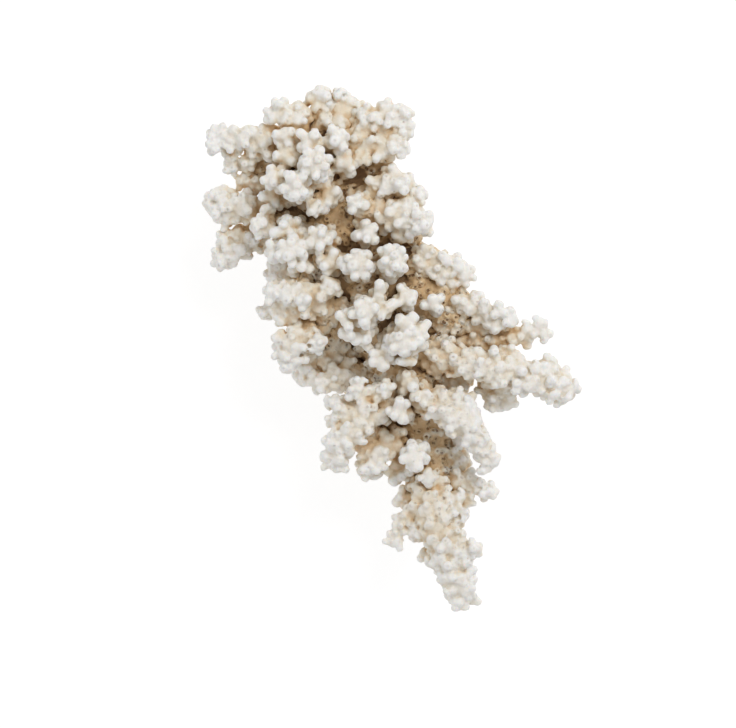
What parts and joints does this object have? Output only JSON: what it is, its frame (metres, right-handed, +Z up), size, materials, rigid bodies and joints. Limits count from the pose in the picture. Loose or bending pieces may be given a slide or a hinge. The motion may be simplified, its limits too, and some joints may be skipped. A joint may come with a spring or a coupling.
{
  "type": "branching coral",
  "caption": "Bleached branching reef coral with knobbly side arms radiating from a thick stem, cut flat underneath so that it rests as a display piece.",
  "frame": {"origin": "middle of the flat cut underneath, where the coral was taken off its rock", "axes": "+Z up, out of the cut and towards the viewer of the picture; +Y along the coral, from the lower spire to the crown; +X towards the long side arm"},
  "size_m": [0.1521, 0.211, 0.0781],
  "materials": {
    "old_skeleton": "matt, tan, porous coral skeleton",
    "limb_skeleton": "matt, cream, porous coral skeleton",
    "arm_skeleton": "matt, bleached white coral skeleton"
  },
  "bodies": {
    "root": {"trunk": "old_skeleton", "upper_limb": "limb_skeleton", "lower_limb": "limb_skeleton", "left_arm": "arm_skeleton", "left_short_arm": "arm_skeleton", "left_middle_arm": "arm_skeleton", "left_lower_arm": "arm_skeleton", "left_front_arm": "arm_skeleton", "crown_left_arm": "arm_skeleton", "crown_top_arm": "arm_skeleton", "crown_middle_arm": "arm_skeleton", "crown_right_arm": "arm_skeleton", "right_shoulder_arm": "arm_skeleton", "right_upper_arm": "arm_skeleton", "right_middle_arm": "arm_skeleton", "right_third_arm": "arm_skeleton", "right_fourth_arm": "arm_skeleton", "right_long_arm": "arm_skeleton", "lower_right_arm": "arm_skeleton", "lower_small_arm": "arm_skeleton", "lower_spire": "arm_skeleton", "lower_left_arm": "arm_skeleton", "lower_second_arm": "arm_skeleton", "left_fan_arm": "arm_skeleton", "left_down_arm": "arm_skeleton", "left_shaded_arm": "arm_skeleton", "left_bottom_arm": "arm_skeleton", "stump_back_arm": "arm_skeleton", "stump_left_arm": "arm_skeleton", "stump_front_arm": "arm_skeleton", "stump_right_arm": "arm_skeleton"}
  },
  "joints": []
}
